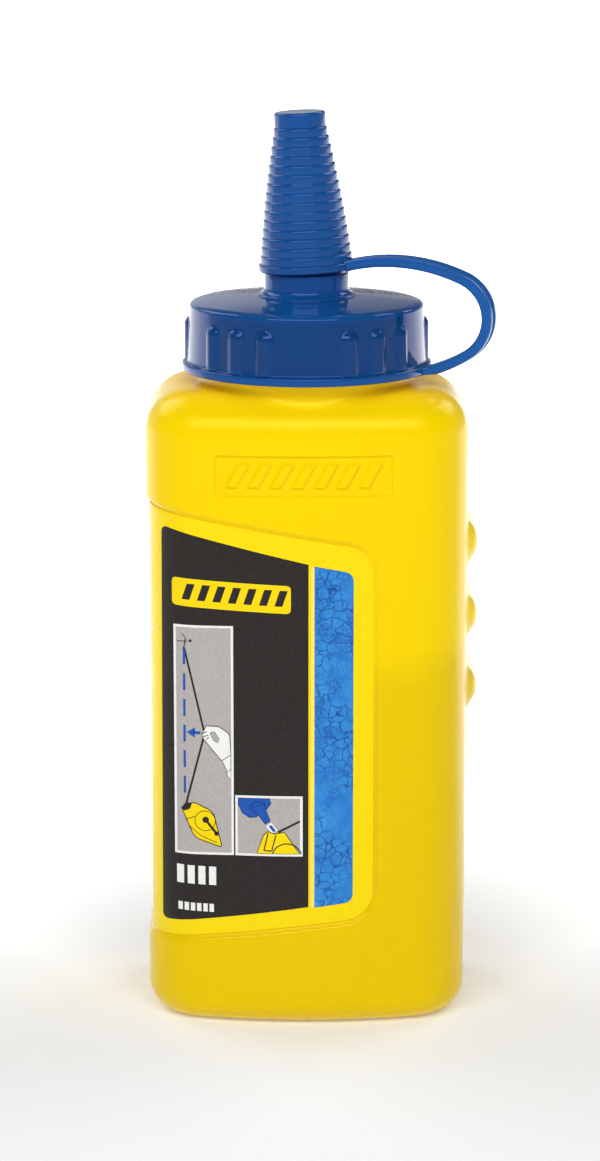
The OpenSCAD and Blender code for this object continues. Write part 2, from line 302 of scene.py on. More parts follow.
def blue_plastic(name, colour, roughness, backed_and_painted_shade=None, white=0.33):
    """Glossy moulded polypropylene with slight flow waviness and handling marks.

    Between the two heights given for the skirt band the base colour is darkened to 0.58: painted shade where
    the bottle's neck stands behind the skirt and no light comes through. Some grey dust lies on the deck just
    above them, towards the back.
    """
    s = Shader(name, colour, Specular_IOR_Level=0.5, Specular_Tint=tint(colour, white))
    where, (_, y, z) = s.place()
    streak = s.ramp(s.noise(where, 160, 5, 0.6), 0.3, 0.75)
    skin = s.mix(streak, tuple(0.88 * c for c in colour), colour)
    gloss = s.ramp(s.noise(where, 700, 4, 0.6), 0.3, 0.75, roughness - 0.03, roughness + 0.05)
    if backed_and_painted_shade:
        low, high = backed_and_painted_shade
        over_low = s.ramp(z, low * MM, (low + 1.2) * MM)
        under_high = s.ramp(z, (high - 1) * MM, high * MM, 1, 0)
        # painted shade: the skirt's base colour is darkened between the two heights, in place of the shade
        # from the neck behind it
        skin = s.mix(s.math("MULTIPLY", over_low, under_high), skin, tuple(0.58 * c for c in colour))
        below_boss = s.ramp(z, (high + 1.4) * MM, (high + 1.8) * MM, 1, 0)
        on_deck = s.math("MULTIPLY", s.ramp(z, high * MM, (high + 0.5) * MM), below_boss)
        on_deck = s.math("MULTIPLY", on_deck, s.ramp(y, 1 * MM, 5 * MM))
        specks = s.ramp(s.noise(where, 1600, 4, 0.7), 0.42, 0.6)
        patches = s.ramp(s.noise(where, 90, 3), 0.3, 0.55)
        dust = s.math("MULTIPLY", on_deck, s.math("MULTIPLY", specks, patches))
        skin = s.mix(dust, skin, srgb(140, 138, 134))
        gloss = s.math("ADD", gloss, s.math("MULTIPLY", dust, 0.7))
    s.set("Base Color", skin)
    s.set("Roughness", gloss)
    s.bump((s.noise(where, 110, 2), 0.04), (s.noise(where, 1800, 2), 0.003))
    return s.material


def print_ink(name, colour, roughness=0.3, speckle=0.06):
    """Flat ink on the label film, with the faint grain of the printing."""
    s = Shader(name, colour, Specular_IOR_Level=0.25, Specular_Tint=tint(colour))
    where, _ = s.place()
    grain = s.ramp(s.noise(where, 2600, 3, 0.6), 0.35, 0.65)
    lighter = tuple(min(1.0, c + speckle * (0.15 + c)) for c in colour)
    s.set("Base Color", s.mix(grain, colour, lighter))
    s.set("Roughness", s.ramp(s.noise(where, 300, 2), 0.3, 0.7, roughness - 0.04, roughness + 0.05))
    s.bump((s.noise(where, 60, 2), 0.05))
    return s.material


def chalk_print():
    """The blue strip: a printed picture of smeared, cracked chalk."""
    light, mid, dark = srgb(58, 152, 228), srgb(32, 122, 208), srgb(14, 66, 148)
    s = Shader("chalk_print", mid, Roughness=0.3, Specular_IOR_Level=0.25)
    where, _ = s.place()
    bent = s.node("TexNoise", {"Vector": where, "Scale": 480.0, "Detail": 6.0}).outputs["Color"]
    push = s.node("VectorMath", {0: bent}, operation="SCALE")
    push.inputs["Scale"].default_value = 2.6 * MM
    moved = s.node("VectorMath", {0: where, 1: push.outputs[0]}, operation="ADD").outputs[0]
    edge = "DISTANCE_TO_EDGE"
    cells = s.node("TexVoronoi", {"Vector": moved, "Scale": 560.0}, feature=edge).outputs["Distance"]
    veins = s.node("TexVoronoi", {"Vector": moved, "Scale": 1300.0}, feature=edge).outputs["Distance"]
    cloud = s.ramp(s.noise(where, 260, 6, 0.65), 0.35, 0.68)
    base = s.mix(cloud, mid, light)
    cracks, cracked = s.ramp(cells, 0.0, 0.09, 0.95, 0.0), s.ramp(s.noise(where, 130, 3), 0.38, 0.56)
    hairs, haired = s.ramp(veins, 0.0, 0.12, 0.75, 0.0), s.ramp(s.noise(where, 170, 3), 0.46, 0.6)
    lines = s.math("MAXIMUM", s.math("MULTIPLY", cracks, cracked), s.math("MULTIPLY", hairs, haired))
    s.set("Base Color", s.mix(lines, base, dark))
    return s.material


def powder():
    s = Shader("chalk_powder_dust", srgb(52, 112, 196), Roughness=0.95)
    where, _ = s.place()
    lumps = s.noise(where, 500, 6, 0.7)
    s.set("Base Color", s.mix(s.ramp(lumps, 0.3, 0.7), srgb(38, 92, 176), srgb(78, 138, 214)))
    s.bump((lumps, 0.5), (s.noise(where, 3000, 3), 0.1))
    return s.material


def liner_foam():
    s = Shader("liner_foam", srgb(238, 238, 232), Roughness=0.7)
    where, _ = s.place()
    cells = s.node("TexVoronoi", {"Vector": where, "Scale": 2200.0}).outputs["Distance"]
    s.set("Base Color", s.mix(s.ramp(cells, 0.0, 0.6), srgb(224, 224, 216), srgb(244, 244, 240)))
    s.bump((cells, 0.05))
    return s.material


BLUE = srgb(18, 82, 150)
STRAP_BLUE = srgb(26, 94, 168)


# ---- bottle ----
def plan_run(kind, place, radius, start, end, step):
    """Points and outward normals of one stretch of the plan: an arc, or a straight side along Y."""
    if kind == "side":
        y = np.linspace(start, end, max(2, round(abs(end - start) / step)), endpoint=False)
        side = np.sign(place)
        points = np.column_stack([np.full(len(y), float(place)), y])
        return points, np.column_stack([np.full(len(y), side), np.zeros(len(y))])
    angles = np.linspace(start, end, round(abs(end - start) * radius / step), endpoint=False)
    normals = np.column_stack([np.cos(angles), np.sin(angles)])
    return np.array(place) + radius * normals, normals


def plan():
    """Once round the body anticlockwise from the middle of the right side, finest on the front."""
    pi = math.pi
    plain, corner, front = 0.8, 0.55, 0.25
    runs = [
        ("side", HALF_W, 0, 0, ARC_Y, plain),
        ("arc", (ARC_X, ARC_Y), CORNER_R, 0, TILT, corner),
        ("arc", (0, -FACE_Y), FACE_R, TILT, pi - TILT, plain),
        ("arc", (-ARC_X, ARC_Y), CORNER_R, pi - TILT, pi, corner),
        ("side", -HALF_W, 0, ARC_Y, -ARC_Y, plain),
        ("arc", (-ARC_X, -ARC_Y), CORNER_R, pi, pi + TILT, corner),
        ("arc", (0, FACE_Y), FACE_R, pi + TILT, 2 * pi - TILT, front),
        ("arc", (ARC_X, -ARC_Y), CORNER_R, 2 * pi - TILT, 2 * pi, corner),
        ("side", HALF_W, 0, -ARC_Y, 0, plain),
    ]
    parts = [plan_run(*run) for run in runs]
    return np.vstack([p for p, _ in parts]), np.vstack([n for _, n in parts])


PLAN, NORMAL = plan()


def edge_distance(points):
    """How far plan points lie inside the body's outline."""
    x, y = np.abs(points[:, 0]), np.abs(points[:, 1])
    flat = np.minimum(HALF_W - x, FACE_R - np.hypot(x, y + FACE_Y))
    angle = np.arctan2(y - ARC_Y, x - ARC_X)
    corner = CORNER_R - np.hypot(x - ARC_X, y - ARC_Y)
    return np.where((angle > 0) & (angle < TILT), corner, flat)


def panel_distance(x, z, inset=0.0):
    """Signed distance to the label panel's outline, negative inside."""
    right, radius = PANEL_X - inset, PANEL_R - inset
    start = right - radius
    low = PANEL_LOW + inset - LOW_SLOPE * np.maximum(start - x, 0)
    high = PANEL_HIGH - inset + HIGH_SLOPE * np.maximum(start - x, 0)
    across = x - right + radius
    up = np.maximum(z - high, low - z) + radius
    outside = np.hypot(np.maximum(across, 0), np.maximum(up, 0))
    return np.minimum(np.maximum(across, up), 0) + outside - radius


def plate_dip(x, z):
    """How far the shoulder plate is sunk, from 0 to 1: a rounded field with slanted bars left standing."""
    dx = np.abs(x - PLATE_X) - PLATE_W / 2 + PLATE_CORNER
    dz = np.abs(z - PLATE_Z) - PLATE_H / 2 + PLATE_CORNER
    field = np.minimum(np.maximum(dx, dz), 0) + np.hypot(np.maximum(dx, 0), np.maximum(dz, 0)) - PLATE_CORNER
    pitch = PLATE_W / (BARS + 1)
    bar_height = 0.6 * PLATE_H
    across = x - PLATE_X - (z - PLATE_Z) * PLATE_H / 3 / bar_height
    nearest = np.clip(np.round(across / pitch), -(BARS - 1) / 2, (BARS - 1) / 2) * pitch
    bar = np.maximum(np.abs(across - nearest) - pitch / 4, np.abs(z - PLATE_Z) - bar_height / 2)
    return smooth_step(-field, -0.15, 0.2) * smooth_step(bar, -0.2, 0.2)


def wall_ring(z, inset, wall):
    """One ring of the wall at height z, with the label panel, plate and grips pressed into it."""
    x, y = PLAN[:, 0], PLAN[:, 1]
    depth = inset + wall + PANEL_DEPTH * smooth_step(-panel_distance(x, z), -0.35, 0.45)
    if wall == 0:
        depth = depth + np.where(y < 0, PLATE_DEPTH * plate_dip(x, z), 0)
    ring = PLAN - depth[:, None] * NORMAL
    radius = GRIP_R - wall
    for grip in GRIPS:
        away = np.hypot(np.maximum(np.abs(ring[:, 1]) - GRIP_HALF, 0), z - grip)
        reach = np.where(away < radius, np.sqrt(np.maximum(radius**2 - away**2, 0)), -3 * (away - radius))
        crest = HALF_W + GRIP_PROUD - GRIP_R + reach
        raised = smooth_max(ring[:, 0], crest, 0.45)
        ring[:, 0] = np.where((x > ARC_X) & (away < radius + 2), raised, ring[:, 0])
    return np.column_stack([ring, np.full(len(ring), float(z))])


def shoulder_height(inside, wall):
    radius = SHOULDER_R - wall
    rolled = np.clip(radius - (inside - wall), 0, radius)
    return WALL_TOP + np.sqrt(radius**2 - rolled**2)


def neck_ring(radius, z):
    angle = np.arctan2(PLAN[:, 1], PLAN[:, 0])
    return np.column_stack([radius * np.cos(angle), radius * np.sin(angle), np.broadcast_to(z, len(angle))])


def shoulder_rings(wall, radius, steps):
    """Rings from the top of the wall over the shoulder to the neck's circle."""
    start, end = PLAN - wall * NORMAL, neck_ring(radius, 0.0)[:, :2]
    rings = []
    for s in np.linspace(0, 1, steps + 1)[1:]:
        at = start + (end - start) * s**1.7
        rings.append(np.column_stack([at, shoulder_height(edge_distance(at), wall)]))
    return rings


def base_rings(radius, wall):
    """Rings from the foot of the wall round the base corner to near the middle, with the base pushed up."""
    rings = []
    for a in np.linspace(90, 0, 11)[1:]:
        inset = radius * (1 - math.sin(math.radians(a)))
        lift = radius * (1 - math.cos(math.radians(a)))
        rings.append(wall_ring(wall + lift, inset, wall))
    foot = PLAN - (wall + radius) * NORMAL
    for share in (0.93, 0.86, 0.78, 0.6, 0.4, 0.2):
        rise = PUSH_UP * smooth_step(1 - share, 0.1, 0.26)
        rings.append(np.column_stack([foot * share, np.full(len(foot), wall + rise)]))
    return rings


def wall_heights(step, fine):
    """Heights up the wall, closer together where the label panel's edges and the plate run."""
    marks = [
        (BASE_R, 13, step), (13, 19.5, fine), (19.5, 82, step), (82, 90, fine),
        (90, 98.6, 0.45 * fine), (98.6, WALL_TOP, step),
    ]
    return np.unique(np.concatenate([spaced(a, b, s) for a, b, s in marks]))


def make_bottle(material):
    fillet = 1.2
    outer = base_rings(BASE_R, 0)[::-1]
    outer += [wall_ring(z, 0, 0) for z in wall_heights(0.95, 0.4)]
    outer += shoulder_rings(0, NECK_R + fillet, 22)
    foot = outer[-1][:, 2]
    nearer = neck_ring(NECK_R + fillet - 0.1, 0.0)[:, :2]
    corner = foot + (shoulder_height(edge_distance(nearer), 0) - foot) / 0.1 * fillet
    for s in np.linspace(0, 1, 7)[1:]:
        height = (1 - s) ** 2 * foot + 2 * s * (1 - s) * corner + s * s * (corner + fillet)
        outer.append(neck_ring(NECK_R + fillet * (1 - s) ** 2, height))
    outer += [neck_ring(NECK_R, height + (NECK_TOP - 0.3 - height) * t) for t in (0.5, 1)]
    outer += [neck_ring(NECK_R - 0.3, NECK_TOP), neck_ring(MOUTH_R + 0.2, NECK_TOP)]
    bore = neck_ring(MOUTH_R, 0.0)
    bore[:, 2] = shoulder_height(edge_distance(bore[:, :2]), WALL)
    inner = [neck_ring(MOUTH_R, NECK_TOP - 0.2 + (bore[:, 2] - NECK_TOP + 0.2) * t) for t in (0, 0.5, 1)]
    inner += shoulder_rings(WALL, MOUTH_R, 12)[::-1][1:]
    inner += [wall_ring(z, 0, WALL) for z in wall_heights(3, 2)[::-1]]
    inner += base_rings(BASE_R - WALL, WALL)
    return tube("bottle_shell", np.array(outer + inner), material, sharp=50, capped=True)


def make_thread(name, root, crest, z, start, material):
    """A rounded helical ridge that fades out at both ends."""
    steps, fade = 150, 14
    lower = [(-1.1, 0.0), (-0.75, 0.45), (-0.5, 0.85), (-0.2, 1.0)]
    section = lower + [(-dz, out) for dz, out in lower[::-1]]
    grid = []
    for i in range(steps + 1):
        a = math.radians(start + 360 * TURNS * i / steps)
        grow = min(1.0, (i + 1) / fade, (steps - i + 1) / fade)
        height = z + PITCH * TURNS * i / steps
        radii = [root + (crest - root) * out * grow for _, out in section]
        grid.append([(r * math.cos(a), r * math.sin(a), height + dz) for r, (dz, _) in zip(radii, section)])
    return tube(name, np.array(grid), material, capped=True)


# ---- label ----
def front_y(x, inset):
    """Y of the body's front at x, drawn in by inset."""
    x = np.asarray(x, float)
    face = FACE_Y - np.sqrt((FACE_R - inset) ** 2 - x**2)
    turn = (CORNER_R - inset) ** 2 - (np.abs(x) - ARC_X) ** 2
    corner = -ARC_Y - np.sqrt(np.maximum(turn, 0))
    edge = (FACE_R - inset) * math.cos(TILT)
    return np.where(np.abs(x) < edge, face, corner)


def panel_span(x, inset):
    """Lower and upper limit of the label at x."""
    right, radius = PANEL_X - inset, PANEL_R - inset
    start = right - radius
    across = np.clip(x - start, 0, radius)
    bulge = radius - np.sqrt(np.maximum(radius**2 - across**2, 0))
    low = PANEL_LOW + inset - LOW_SLOPE * np.maximum(start - x, 0) + bulge
    high = PANEL_HIGH - inset + HIGH_SLOPE * np.maximum(start - x, 0) - bulge
    return low, high


def make_label(material):
    """The film: from the back's right edge round the left side to the front's right edge."""
    limit = PANEL_X - LABEL_MARGIN
    turn = np.argsort((np.arctan2(PLAN[:, 1], PLAN[:, 0]) + 2 * math.pi) % (2 * math.pi))
    base, normal = PLAN[turn], NORMAL[turn]
    inset = PANEL_DEPTH - LABEL_T
    on = (base[:, 0] - inset * normal[:, 0] < limit - 0.05) & (np.abs(base[:, 1]) > 0)
    base, normal = base[on], normal[on]
    rows = 60
    skins = []
    for depth in (inset, PANEL_DEPTH - 0.01):
        at = base - depth * normal
        low, high = panel_span(at[:, 0], LABEL_MARGIN)
        shares = np.linspace(0, 1, rows)[:, None]
        z = low + (high - low) * shares
        skins.append(np.dstack([np.broadcast_to(at[:, 0], z.shape), np.broadcast_to(at[:, 1], z.shape), z]))
    columns = len(base)
    loop = np.concatenate([skins[0], skins[1][::-1]])
    faces = []
    total = 2 * rows
    for i in range(total):
        a, b = i * columns, (i + 1) % total * columns
        for j in range(columns - 1):
            faces.append((a + j, a + j + 1, b + j + 1, b + j))
    for i in range(rows - 1):
        a, b = i, total - 1 - i
        for j, flip in ((0, False), (columns - 1, True)):
            quad = (a * columns + j, (a + 1) * columns + j, (b - 1) * columns + j, b * columns + j)
            faces.append(quad[::-1] if flip else quad)
    return solid("label_film", loop.reshape(-1, 3), faces, material, 30)


LAYER = 0.012


def printed(name, shapes, material, layer=1, back=False):
    """Flat shapes of (x, z) points laid on the label, cut into strips so that they follow its curve."""
    bm = bmesh.new()
    for shape in shapes:
        bm.faces.new([bm.verts.new((x, 0, z)) for x, z in shape])
    bmesh.ops.triangulate(bm, faces=bm.faces)
    for x in np.arange(-25, 12, 0.5):
        everything = bm.verts[:] + bm.edges[:] + bm.faces[:]
        bmesh.ops.bisect_plane(bm, geom=everything, plane_co=(x, 0, 0), plane_no=(1, 0, 0), dist=1e-5)
    depth = PANEL_DEPTH - LABEL_T - LAYER * layer
    side = -1 if back else 1
    for v in bm.verts:
        v.co.y = side * float(front_y(v.co.x, depth))
    for face in bm.faces:
        face.normal_update()
        if face.normal.y * side > 0:
            face.normal_flip()
    mesh = bpy.data.meshes.new(name)
    bm.to_mesh(mesh)
    bm.free()
    mesh.transform(Matrix.Scale(MM, 4))
    mesh.polygons.foreach_set("use_smooth", [True] * len(mesh.polygons))
    obj = link(mesh, name, material)
    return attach(obj, "bottle")


def rounded(corners, radii):
    """An outline through corners, each rounded by its radius."""
    out = []
    for i, (corner, radius) in enumerate(zip(corners, radii)):
        p = np.array(corner, float)
        if radius == 0:
            out.append(tuple(p))
            continue
        before = np.array(corners[i - 1], float) - p
        after = np.array(corners[(i + 1) % len(corners)], float) - p
        before, after = before / np.linalg.norm(before), after / np.linalg.norm(after)
        half = math.acos(np.clip(before @ after, -1, 1)) / 2
        reach = radius / math.tan(half)
        a, b = p + before * reach, p + after * reach
        for t in np.linspace(0, 1, 7):
            out.append(tuple((1 - t) ** 2 * a + 2 * t * (1 - t) * p + t * t * b))
    return out


def block(x0, z0, x1, z1):
    return [(x0, z0), (x1, z0), (x1, z1), (x0, z1)]


def stroke(start, end, width):
    """A straight line of some width, as an outline."""
    a, b = np.array(start, float), np.array(end, float)
    along = (b - a) / np.linalg.norm(b - a)
    side = np.array([-along[1], along[0]]) * width / 2
    return [tuple(a - side), tuple(b - side), tuple(b + side), tuple(a + side)]


def disc(x, z, radius, count=20):
    angles = np.linspace(0, 2 * math.pi, count, endpoint=False)
    return [(x + radius * math.cos(a), z + radius * math.sin(a)) for a in angles]


def outlined(name, shape, ink, edge, layer, width=0.16):
    """A filled shape on a slightly larger one in the line colour."""
    points = np.array(shape)
    area = np.cross(points, np.roll(points, -1, 0)).sum()
    step = np.roll(points, -1, 0) - points
    out = np.column_stack([step[:, 1], -step[:, 0]]) / np.linalg.norm(step, axis=1)[:, None] * np.sign(area)
    corner = out + np.roll(out, 1, 0)
    corner /= np.maximum(np.linalg.norm(corner, axis=1), 0.6)[:, None]
    printed(name + "_edge", [(points + corner * width).tolist()], edge, layer)
    printed(name, [shape], ink, layer + 1)


def draw_snap_line(white, grey, blue, line, yellow):
    """A string hung from a hook, drawn aside by a hand above a reel, with its straight place dashed."""
    printed("drawing_1_frame", [[(-22.0, 68.9), (-22.0, 29.6), (-12.1, 29.9), (-12.1, 69.1)]], white, 2)
    printed("drawing_1_field", [[(-21.6, 68.5), (-21.6, 30.0), (-12.5, 30.3), (-12.5, 68.7)]], grey, 3)
    dashes = [block(-20.45, 40.2 + 4.4 * i, -20.05, 43.1 + 4.4 * i) for i in range(6)]
    arrow = [(-19.9, 50.7), (-18.5, 51.6), (-18.8, 50.95), (-17.6, 50.95)]
    arrow += [(-17.6, 50.45), (-18.8, 50.45), (-18.5, 49.8)]
    printed("drawing_1_dashes", dashes + [arrow], blue, 4)
    string = [stroke((-20.2, 65.0), (-16.9, 50.6), 0.34), stroke((-16.9, 50.6), (-20.1, 38.2), 0.34)]
    hook = [stroke((-21.4, 66.1), (-19.6, 66.2), 0.14), disc(-19.2, 66.3, 0.25, 10)]
    hook += [stroke((-20.3, 64.9), (-20.0, 66.7), 0.18), stroke((-20.0, 66.7), (-20.6, 67.4), 0.14)]
    printed("drawing_1_string", string + hook, line, 4)
    sleeve = [(-13.2, 44.3), (-12.6, 45.0), (-12.6, 42.9), (-13.1, 43.6)]
    cuff = [(-14.1, 46.4), (-12.6, 47.3), (-12.6, 44.7), (-13.1, 44.3)]
    outlined("drawing_1_sleeve", sleeve, white, line, 4, 0.12)
    outlined("drawing_1_cuff", cuff, white, line, 6, 0.12)
    fist = [(-17.3, 50.5), (-16.6, 51.9), (-14.6, 51.9), (-12.8, 50.7)]
    fist += [(-12.6, 47.2), (-14.1, 46.2), (-15.7, 48.1), (-17.0, 49.7)]
    outlined("drawing_1_hand", rounded(fist, [0.4, 0.5, 0.9, 1.0, 0, 0.2, 0.6, 0.3]), white, line, 8, 0.12)
    hollow = [(-16.0, 50.8), (-15.3, 51.0), (-14.5, 49.8), (-14.8, 49.2), (-15.4, 49.6)]
    outlined("drawing_1_grip", rounded(hollow, [0.2, 0.2, 0.2, 0.1, 0.3]), grey, line, 10, 0.08)
    fingers = [((-17.3, 50.6), (-16.5, 51.0)), ((-17.1, 50.1), (-16.3, 50.4)), ((-16.6, 49.7), (-16.2, 50.0))]
    printed("drawing_1_fingers", [stroke(a, b, 0.14) for a, b in fingers], line, 10)
    case = [(-20.7, 37.5), (-18.9, 38.7), (-15.6, 37.2), (-14.2, 31.3), (-18.6, 32.7)]
    outlined("drawing_1_case", rounded(case, [0.2, 1.2, 2.0, 0.2, 2.0]), yellow, line, 6)
    folds = [((-20.0, 35.7), (-18.6, 36.3)), ((-19.6, 34.6), (-17.6, 33.0)), ((-17.6, 33.0), (-14.9, 31.9))]
    printed("drawing_1_fold", [stroke(a, b, 0.12) for a, b in folds], line, 8)
    outlined("drawing_1_disc", disc(-16.9, 35.6, 1.65, 28), yellow, line, 8, 0.12)
    crank = [disc(-16.8, 35.8, 0.55), stroke((-16.8, 35.8), (-15.0, 33.5), 0.42), disc(-15.0, 33.5, 0.38)]
    collar = [(-20.9, 37.6), (-20.0, 38.7), (-19.1, 38.4), (-19.5, 37.5), (-20.4, 37.1)]
    printed("drawing_1_crank", crank + [collar], line, 10)


def draw_filling(white, grey, blue, line, yellow):
    """The bottle's own spout, tipped down, fills the open top of a reel."""
    dark = print_ink("ink_blue_dark", srgb(22, 42, 104))
    printed("drawing_2_frame", [block(-11.85, 29.9, -0.65, 40.3)], white, 2)
    printed("drawing_2_field", [block(-11.45, 30.3, -1.1, 39.9)], grey, 3)
    cap = [(-11.3, 39.8), (-11.3, 38.8), (-10.6, 37.3), (-9.5, 36.6)]
    cap += [(-8.4, 36.7), (-6.8, 37.9), (-6.0, 39.0), (-6.2, 39.8)]
    outlined("drawing_2_cap", cap, blue, dark, 4, 0.12)
    ring = rounded([(-9.5, 38.2), (-8.5, 39.3), (-6.8, 39.0), (-8.2, 37.2)], [0.5, 0.4, 0.3, 0.4])
    outlined("drawing_2_ring", ring, blue, dark, 6, 0.12)
    outlined("drawing_2_spout", [(-8.9, 38.3), (-7.1, 38.8), (-6.1, 36.0), (-6.9, 35.5)], blue, dark, 8, 0.12)
    printed("drawing_2_pour", [stroke((-6.3, 35.4), (-5.3, 34.1), 1.1)], white, 4)
    printed("drawing_2_powder", [stroke((-6.1, 35.2), (-5.3, 34.2), 0.5)], blue, 5)
    printed("drawing_2_string", [stroke((-4.7, 34.1), (-1.1, 36.0), 0.36)], line, 5)
    case = [(-8.2, 30.4), (-7.1, 33.5), (-6.4, 34.1), (-5.4, 33.7), (-3.7, 34.0), (-2.5, 32.2), (-1.3, 30.4)]
    outlined("drawing_2_case", case, yellow, line, 6)
    hump = [(x, z) for x, z in disc(-3.3, 29.6, 2.5, 40) if z > 30.35]
    hump.sort(key=lambda p: p[0])
    arch = [stroke(a, b, 0.2) for a, b in zip(hump[:-1], hump[1:])]
    folds = [stroke((-6.4, 33.9), (-7.1, 30.9), 0.2), stroke((-5.1, 33.6), (-5.8, 30.8), 0.2)]
    folds.append(stroke((-7.1, 30.9), (-5.8, 30.8), 0.2))
    printed("drawing_2_folds", arch + folds, line, 8)


def make_print():
    black = print_ink("ink_black", srgb(30, 25, 22))
    yellow = print_ink("ink_yellow", srgb(254, 219, 6))
    cream = print_ink("ink_cream", srgb(248, 232, 130))
    white = print_ink("ink_white", srgb(240, 240, 238))
    grey = print_ink("ink_grey", srgb(176, 171, 168), speckle=0.12)
    blue = print_ink("ink_blue", srgb(36, 88, 176))
    line = print_ink("ink_line", srgb(30, 27, 26))

    panel = rounded([(-23.9, 85.3), (-24.2, 17.5), (0.3, 21.1), (0.3, 79.6)], [1, 1, 0, 0])
    printed("panel_black", [panel], black)
    printed("edge_cream", [[(0.75, 79.3), (0.75, 21.1), (1.15, 21.1), (1.15, 79.2)]], cream)
    strip = rounded([(1.3, 79.3), (1.3, 21.0), (7.7, 21.9), (7.7, 78.1)], [0, 0, 1.8, 1.8])
    printed("strip_chalk", [strip], chalk_print())

    # the name box is a plain badge with slanted bars
    badge = rounded([(-22.2, 76.9), (-22.2, 72.2), (-2.6, 71.3), (-2.6, 76.0)], [0.8] * 4)
    printed("badge_field", [badge], yellow, 2)
    bars = []
    for i in range(BARS):
        x = -20.6 + i * 2.55
        drop = -0.045 * (x + 12.4)
        bar = [(0, 72.9), (1.3, 72.85), (2.2, 75.5), (0.9, 75.55)]
        bars.append([(x + across, z + drop) for across, z in bar])
    printed("badge_bars", bars, line, 3)

    draw_snap_line(white, grey, blue, line, yellow)
    draw_filling(white, grey, blue, line, yellow)

    # the two lines of print under the drawings are blank marks
    first = [block(-21.7 + i * 1.8, 24.5, -20.5 + i * 1.8, 27.7) for i in range(4)]
    second = [block(-21.5 + i * 1.05, 19.8, -20.75 + i * 1.05, 21.2) for i in range(6)]
    printed("blank_lines", first + second, white, 2)

    # the back carries a plain block of blank lines
    panel = rounded([(-23.9, 85.3), (-24.2, 17.5), (8.0, 22.0), (8.0, 79.0)], [1, 1, 1.8, 1.8])
    printed("back_panel", [panel], black, 1, True)
    rows = [block(-20, z, 4.5 - 5 * (i % 3 == 2), z + 1.0) for i, z in enumerate(np.arange(70, 27, -2.6))]
    printed("back_lines", rows, white, 2, True)


# ---- cap, cover, strap, liner ----
def cap_profile():
    """Closed half section of the cap: up the outside to the spout's tip and back down the inside."""
    crown = (SKIRT_HIGH_R**2 + DECK_RISE**2) / (2 * DECK_RISE)
    deck_top = RIM_Z + DECK_RISE
    flare, step = 1.1, 0.3
    foot_r = BOSS_R + flare + 0.1
    foot_z = deck_top - crown + math.sqrt(crown**2 - foot_r**2)
    edge = 0.35
    rows = arc((FLANGE_R - edge, CAP_Z + edge), edge, -90, 0, 4)
    rows += arc((FLANGE_R - edge, CAP_Z + FLANGE_T - edge), edge, 0, 90, 4)
    rows += arc((SKIRT_LOW_R + 0.4, CAP_Z + FLANGE_T + 0.4), 0.4, -90, -180, 4)
    skirt_top = RIM_Z - RIM_R
    for z in spaced(CAP_Z + FLANGE_T + 0.6, skirt_top, 0.25)[:-1]:
        share = (z - CAP_Z - FLANGE_T) / (skirt_top - CAP_Z - FLANGE_T)
        rows.append((SKIRT_LOW_R + (SKIRT_HIGH_R - SKIRT_LOW_R) * share, z))
    rows += arc((SKIRT_HIGH_R - RIM_R, RIM_Z - RIM_R), RIM_R, 0, 82, 7)
    for r in spaced(SKIRT_HIGH_R - RIM_R - 0.4, foot_r + 0.5, 0.6):
        rows.append((r, deck_top - crown + math.sqrt(crown**2 - r * r)))
    rows += [(foot_r, foot_z + 0.02), (foot_r - 0.02, foot_z + step - 0.08), (foot_r - 0.1, foot_z + step)]
    rows += arc((BOSS_R + flare, foot_z + step + flare), flare, 270, 180, 8)
    rows += arc((BOSS_R - 0.25, BOSS_Z - 0.25), 0.25, 0, 90, 3)
    rows += [(SEAL_R + 0.15, BOSS_Z), (SEAL_R, BOSS_Z + 0.15), (SEAL_R, BOSS_Z + SEAL_H)]
    rows += [(SEAL_R - 0.4, BOSS_Z + SEAL_H + 0.4), (TIP_R, SPOUT_Z - 0.2), (TIP_R - 0.2, SPOUT_Z)]
    rows += [(TIP_HOLE_R, SPOUT_Z), (POUR_R, BOSS_Z + SEAL_H), (POUR_R, RIM_Z - 0.2)]
    rows += [(13, RIM_Z - 0.2), (13, DECK_UNDER), (CAP_BORE_R, DECK_UNDER)]
    rows += [(CAP_BORE_R, CAP_Z + 0.3), (CAP_BORE_R + 0.3, CAP_Z)]
    return np.array(rows)


def make_cap(material):
    """The cap's lathe form with fifteen ribs, in five groups of three, swollen out of the skirt."""
    columns = 900
    angles = np.linspace(0, 2 * math.pi, columns, endpoint=False)
    profile = cap_profile()
    outside = profile[:, 0] > CAP_BORE_R + 0.2
    skirt = outside & (profile[:, 1] > CAP_Z + FLANGE_T + 0.05) & (profile[:, 1] < RIM_Z - 0.4)
    reach = SKIRT_LOW_R + RIB_PROUD - RIB_R
    grid = np.zeros((len(profile), columns, 3))
    rib_angles = [math.radians(90 + 72 * g + 15.5 * k) for g in range(5) for k in (-1, 0, 1)]
    turn = np.min([np.abs((angles - a + math.pi) % (2 * math.pi) - math.pi) for a in rib_angles], axis=0)
    for i, (r, z) in enumerate(profile):
        radius = np.full(columns, r)
        if skirt[i]:
            size = math.sqrt(max(RIB_R**2 - max(z - RIB_TOP, 0) ** 2, 0))
            room = size**2 - (reach * np.sin(turn)) ** 2
            rib = np.where(room > 0, reach * np.cos(turn) + np.sqrt(np.maximum(room, 0)), 0)
            radius = np.where(turn < 0.2, smooth_max(radius, rib, 0.12) - 0.006, radius)
        grid[i, :, 0] = radius * np.cos(angles)
        grid[i, :, 1] = radius * np.sin(angles)
        grid[i, :, 2] = z
    return tube("cap_body", grid, material, sharp=38)


def terrace_r(k):
    t = k / (TERRACES - 1)
    tip = COVER_TIP_R + 0.15
    return tip + (COVER_LOW_R - tip) * t + COVER_BOW * 4 * t * (1 - t)


